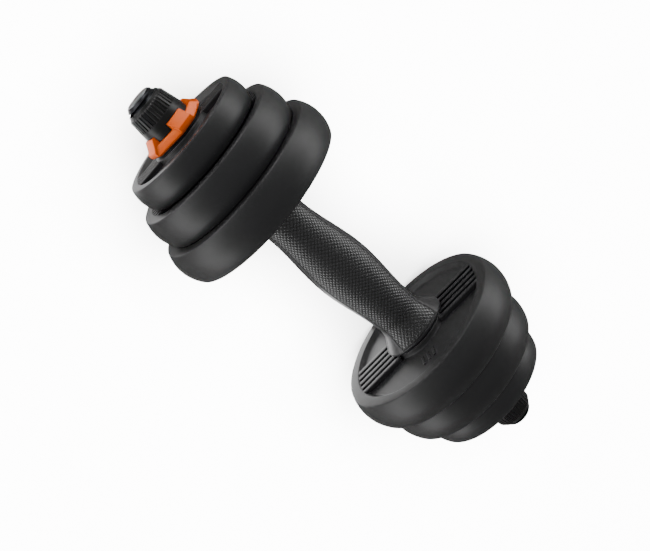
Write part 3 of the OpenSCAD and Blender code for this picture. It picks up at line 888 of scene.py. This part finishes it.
# Bare grey iron from a sand mould, seen only where a plate is cut open: coarse, dark
# and dull, with a sand grain of 0.8 mm.
sand_cast_iron, tree = new_material("sand_cast_iron")
place = put(tree, "ShaderNodeTexCoord")
sand = put(
    tree, "ShaderNodeTexNoise", {"Vector": place.outputs["Object"]}, in_Scale=1200.0, in_Detail=5.0)
tone = put(tree, "ShaderNodeValToRGB", {"Fac": sand.outputs[0]})
tone.color_ramp.elements[0].color = hex_colour("#2e2e30")
tone.color_ramp.elements[1].color = hex_colour("#4a4a4c")
relief = put(
    tree, "ShaderNodeBump", {"Height": sand.outputs[0]}, in_Strength=0.6, in_Distance=0.0003)
shader = put(
    tree, "ShaderNodeBsdfPrincipled", {"Base Color": tone.outputs[0], "Normal": relief.outputs[0]},
    in_Roughness=0.7, in_Metallic=0.6)
finish_material(tree, shader)

for size, shape in PLATES.items():
    low, high = (v.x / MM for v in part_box(f"{size}_skin_right"))
    wide, middle = high - low, (high + low) / 2
    recess = shape["rim"] - shape["bulge"] - shape["flat"]
    turn, band, count = shape["turn"], shape["band"], shape["ribs"]
    rib = band / (count + (count - 1) * GROOVE_SHARE / (1 - GROOVE_SHARE))
    rib_top = wide / 2 - RIB_SINK
    run = dict(Start=HUB_R - IN_HUB, End=math.sqrt((recess + IN_RIM) ** 2 - (band / 2) ** 2))
    ribs = bars(
        turn, Count=count, Spacing=rib / (1 - GROOVE_SHARE), Width=rib, Height=RIB_DEPTH + RIB_ROOT,
        Rounding=RIB_ROUNDING, Face=rib_top, **run)
    bed = bars(turn, Width=band - BED_INSET, Face=rib_top - RIB_DEPTH, **BED, **run)
    mark_at = (HUB_R + recess) / 2 - MARK_INWARD
    marks = bars(
        turn + 90, Count=shape["marks"], Start=mark_at - MARK_HALF, End=mark_at + MARK_HALF,
        Face=wide / 2 - RECESS_DEPTH + MARK_STANDS, **MARK)
    skin = turned(plate_outline(size, wide), RIM_STEPS)
    room_points, room_faces = turned(core_outline(size, wide), CORE_STEPS)
    room = (room_points, [face[::-1] for face in room_faces])
    points, faces = together(skin, room, marks, ribs, bed)
    # The bed and the ribs' sides below their tops get the painted shade.
    painted_shade_faces = in_grooves(points, faces, len(faces) - len(ribs[1]) - len(bed[1]), shape, rib_top)
    for side in SIDES:
        placed = to_side([(x + middle, y, z) for x, y, z in points], side)
        piece = make_piece(f"{size}_plate_rubber_{side}", placed, faces, satin_rubber)
        # The second slot holds the painted shade down between the ribs.
        piece.data.materials.append(painted_shade_groove_rubber)
        for i in painted_shade_faces:
            piece.data.polygons[i].material_index = 1
        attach(piece, f"{size}_plate_{side}")
        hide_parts(f"{size}_skin_{side}")
        finish_node(f"{size}_core_{side}", sand_cast_iron)
        finish_node(f"{size}_bush_{side}", zinc_plate)

# ---- Thrust washers and lock rings ----
# A black-oxided steel washer keeps the turning ring off the small plate. The ring is
# moulded in orange rubber, eight-sided, with four faceted teeth that fill the knob's
# notches and turn with it.
TEETH = 4
TOOTH_TURN = 20.0
TOOTH_WIDE = 12.0
BORE_R = 12.0
RING_R = 22.0
RING_BEVEL = 1.4
RING_TOP_R = 16.6
RING_SIDE_STEPS = 6
SKIRT_R = 15.4
TOOTH_INNER_R = 12.98
TOOTH_HIGH = 4.6
BEVELLED_ABOVE = math.radians(12)    # only edges that turn more than this are bevelled
ring_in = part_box("lock_ring_right")[0].x / MM
tooth_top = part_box("lock_ring_right")[1].x / MM
tooth_in = tooth_top - TOOTH_HIGH
shoulder = ring_in + RING_BEVEL

round_bar, given = new_growth("copies_round_the_bar", Count=4, Turn=0.0)
spots = put(round_bar, "GeometryNodePoints", {"Count": given.outputs["Count"]})
index = put(round_bar, "GeometryNodeInputIndex")
share = put(
    round_bar, "ShaderNodeMath", {0: index.outputs[0], 1: given.outputs["Count"]},
    operation="DIVIDE")
angle = put(
    round_bar, "ShaderNodeMath", {0: share.outputs[0], 2: given.outputs["Turn"]},
    operation="MULTIPLY_ADD", in_1=2 * math.pi)
spin = put(round_bar, "ShaderNodeCombineXYZ", {"X": angle.outputs[0]})
copies = put(
    round_bar, "GeometryNodeInstanceOnPoints",
    {"Points": spots.outputs[0], "Instance": given.outputs["Geometry"],
     "Rotation": spin.outputs[0]})
end_growth(round_bar, given, copies.outputs[0])


def copied_round(points, faces, count, turn, material, bevel=0.0, segments=2):
    """A shape with its edges bevelled, copied round the bar; points and faces in millimetres."""
    one = make_piece("one", points, faces, material)
    if bevel:
        edge = one.modifiers.new("edges", "BEVEL")
        edge.width = bevel * MM
        edge.segments = segments
        edge.limit_method = "ANGLE"
        edge.angle_limit = BEVELLED_ABOVE
        one = keep_mesh("one", one)
    made = grow("copies", one, round_bar, Count=count, Turn=math.radians(turn), Finish=material)
    found = [tuple(c / MM for c in v.co) for v in made.data.vertices]
    joined = [tuple(p.vertices) for p in made.data.polygons]
    bpy.data.objects.remove(made)
    return found, joined


def ring_corners(x, reach):
    """Points round the ring's eight sides at x, with the sides under the teeth at reach."""
    corners = []
    for i in range(TEETH):
        for end in (-1, 1):
            a = math.radians(TOOTH_TURN + 360 * i / TEETH)
            a += end * math.atan(TOOTH_WIDE / 2 / reach)
            r = math.hypot(reach, TOOTH_WIDE / 2)
            corners.append(np.array([x, r * math.cos(a), r * math.sin(a)]))
    points = []
    for here, after in zip(corners, corners[1:] + corners[:1]):
        along = after - here
        points += [tuple(here + along * k / RING_SIDE_STEPS) for k in range(RING_SIDE_STEPS)]
    return points


def bore_points(x, like):
    """Points on the bore at x, each under a point of an outer ring."""
    outs = [(y, z, math.hypot(y, z)) for _, y, z in like]
    return [(x, BORE_R * y / out, BORE_R * z / out) for y, z, out in outs]


foot_r = math.sqrt(RING_R ** 2 - TOOTH_WIDE ** 2 / 4)
top_r = RING_TOP_R * math.sqrt(2) - TOOTH_WIDE / 2
levels = ((ring_in, foot_r - RING_BEVEL), (shoulder, foot_r), (tooth_in, top_r))
outer = [ring_corners(x, reach) for x, reach in levels]
loops = [bore_points(ring_in, outer[0])] + outer + [bore_points(tooth_in, outer[-1])]
base_points = [p for ring in loops for p in ring]
base_faces = closed_faces(len(loops), len(loops[0]))

# Each tooth steps out in three facets, from its tip past its knee to the ring's foot.
TIP_LAND = 0.6          # the tip stands out past the knob's skirt by this
KNEE_UP, KNEE_OUT = 0.9, 3.3
HEEL_DOWN = 1.5
FOOT_PROUD = 0.1        # past the ring's flat side
tooth_line = [
    (shoulder, TOOTH_INNER_R),
    (tooth_top, TOOTH_INNER_R),
    (tooth_top, SKIRT_R + TIP_LAND),
    (tooth_in + KNEE_UP, SKIRT_R + KNEE_OUT),
    (tooth_in - HEEL_DOWN, foot_r + FOOT_PROUD),
    (shoulder, foot_r + FOOT_PROUD),
]
tooth_points = [(x, r, end * TOOTH_WIDE / 2) for end in (-1, 1) for x, r in tooth_line]
tooth_faces = loft([tooth_line, tooth_line])

# Pigmented rubber, injection moulded: a strong orange with a satin skin, and a faint
# cloudiness, 6 mm across, from the way the rubber flowed in.
orange_rubber, tree = new_material("orange_rubber")
place = put(tree, "ShaderNodeTexCoord")
cloud = put(
    tree, "ShaderNodeTexNoise", {"Vector": place.outputs["Object"]}, in_Scale=180.0, in_Detail=3.0)
tone = put(tree, "ShaderNodeValToRGB", {"Fac": cloud.outputs[0]})
tone.color_ramp.elements[0].color = hex_colour("#983a00")
tone.color_ramp.elements[1].color = hex_colour("#a84400")
gloss = put(tree, "ShaderNodeMapRange", {"Value": cloud.outputs[0]}, in_3=0.4, in_4=0.5)
shader = put(
    tree, "ShaderNodeBsdfPrincipled",
    {"Base Color": tone.outputs[0], "Roughness": gloss.outputs[0]}, in_IOR=1.45,
    in_Specular_IOR_Level=0.12)
finish_material(tree, shader)

teeth = copied_round(
    tooth_points, tooth_faces, TEETH, TOOTH_TURN, orange_rubber, bevel=0.5, segments=3)
base = copied_round(base_points, base_faces, 1, 0.0, orange_rubber, bevel=0.3)
points, faces = together(base, teeth)
for side in SIDES:
    piece = make_piece(f"toothed_ring_{side}", to_side(points, side), faces, orange_rubber)
    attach(piece, f"knob_{side}")
    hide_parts(f"lock_ring_{side}")
    finish_node(f"thrust_washer_{side}", black_oxide)

# ---- Knobs and nuts ----
# A hard black nylon knob with moulded ridges to turn it by, four blocks at its skirt
# between the ring's teeth, and a threaded brass nut moulded in.
KNOB_END_R = 13.6
KNOB_CHAMFER = 2.2
KNOB_BORE_R = 11.4
MOUTH_R = 11.8
SMOOTH_SKIRT = 4.4
RIDGES = 36
RIDGE_HIGH = 0.75
RIDGE_FOOT = 2.2
RIDGE_TIP = 1.55
NOTCH_HALF = 6.15
BODY_STEPS = 144        # round the knob
BODY_GAP = 0.15         # between the body and the teeth's tips
knob_in, knob_out = (v.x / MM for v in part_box("knob_right"))
taper_out = knob_out - KNOB_CHAMFER
ridge_in = tooth_top + SMOOTH_SKIRT


def knob_r(x):
    """Radius over the ridges at x."""
    return KNOB_END_R + (SKIRT_R - KNOB_END_R) * (taper_out - x) / (taper_out - tooth_top)


def smooth_r(x):
    """Radius between the ridges at x."""
    return knob_r(x) - RIDGE_HIGH


# Corners from the bore round to the mouth: along, out, and how round.
body_line = filleted([
    (tooth_top + BODY_GAP, KNOB_BORE_R, 0),
    (tooth_top + BODY_GAP, SKIRT_R, 0.3),
    (ridge_in, knob_r(ridge_in), 0.25),
    (ridge_in + 0.5, smooth_r(ridge_in), 0.2),
    (taper_out, smooth_r(taper_out), 0.4),
    (knob_out, MOUTH_R, 0.4),
    (knob_out, KNOB_BORE_R, 0.1),
])
body = turned(body_line, BODY_STEPS)

# One ridge: a tapered bar, narrower at its top, that runs from the smooth skirt to the
# chamfer and ends in a short slope. Its top's two edges are broken by a small chamfer.
RIDGE_ROOT = 0.8
CHAMFER_DOWN = 0.22
CHAMFER_OUT, CHAMFER_IN = 0.16, 0.12
stations = (
    (ridge_in - 0.3, 0.1), (ridge_in + 0.2, 0.0), (taper_out - 0.5, 0.0), (taper_out + 0.4, 0.75))
ridge_points = []
for x, drop in stations:
    top, foot = knob_r(x) - drop, smooth_r(x) - RIDGE_ROOT
    wide, narrow = RIDGE_TIP / 2 + CHAMFER_OUT, RIDGE_TIP / 2 - CHAMFER_IN
    ridge_points += [(x, foot, -RIDGE_FOOT / 2), (x, foot, RIDGE_FOOT / 2)]
    ridge_points += [(x, top - CHAMFER_DOWN, wide), (x, top, narrow)]
    ridge_points += [(x, top, -narrow), (x, top - CHAMFER_DOWN, -wide)]
ridge_faces = loft([ridge_points[:6]] * len(stations))

# One skirt block, its ends square to the notches that the teeth fill. It runs on into the
# body above it.
BLOCK_STEPS = 10
BLOCK_INNER_R = 12.86
block_top = tooth_top + 0.4
block_line = filleted([
    (knob_in, BLOCK_INNER_R, 0),
    (block_top, BLOCK_INNER_R, 0),
    (block_top, SKIRT_R, 0),
    (knob_in, SKIRT_R, 0.35),
], arc_steps=3)
block_points = []
for i in range(BLOCK_STEPS + 1):
    for x, r in block_line:
        first = math.asin(NOTCH_HALF / r)
        a = first + (math.pi / 2 - 2 * first) * i / BLOCK_STEPS
        block_points.append((x, r * math.cos(a), r * math.sin(a)))
block_faces = loft([block_line] * (BLOCK_STEPS + 1))

# Glass-filled nylon, darker and harder than the grip's, with a fine spark-eroded grain
# that is drawn at 0.7 mm, coarser than it is, so that it shows.
knob_nylon, tree = new_material("knob_nylon")
place = put(tree, "ShaderNodeTexCoord")
grain = put(
    tree, "ShaderNodeTexNoise", {"Vector": place.outputs["Object"]}, in_Scale=1500.0, in_Detail=2.0)
tone = put(tree, "ShaderNodeValToRGB", {"Fac": grain.outputs[0]})
tone.color_ramp.elements[0].color = hex_colour("#060606")
tone.color_ramp.elements[1].color = hex_colour("#0e0e0e")
gloss = put(tree, "ShaderNodeMapRange", {"Value": grain.outputs[0]}, in_3=0.3, in_4=0.42)
relief = put(
    tree, "ShaderNodeBump", {"Height": grain.outputs[0]}, in_Strength=0.15, in_Distance=0.0001)
shader = put(
    tree, "ShaderNodeBsdfPrincipled",
    {"Base Color": tone.outputs[0], "Roughness": gloss.outputs[0], "Normal": relief.outputs[0]},
    in_IOR=1.53, in_Specular_IOR_Level=0.35)
finish_material(tree, shader)

ridges = copied_round(ridge_points, ridge_faces, RIDGES, 0.0, knob_nylon)
blocks = copied_round(block_points, block_faces, TEETH, TOOTH_TURN, knob_nylon, bevel=0.25)
points, faces = together(body, ridges, blocks)

# Free-cutting brass, turned and tapped: warm yellow and fairly bright, with the lathe's
# rings drawn at 0.5 mm.
cut_brass = turned_metal("cut_brass", "#9a7a34", "#c09a4a", rough=0.3, pitch_mm=0.5)
for side in SIDES:
    piece = make_piece(f"ridged_knob_{side}", to_side(points, side), faces, knob_nylon)
    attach(piece, f"knob_{side}")
    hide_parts(f"knob_{side}")
    finish_node(f"nut_insert_{side}", cut_brass)
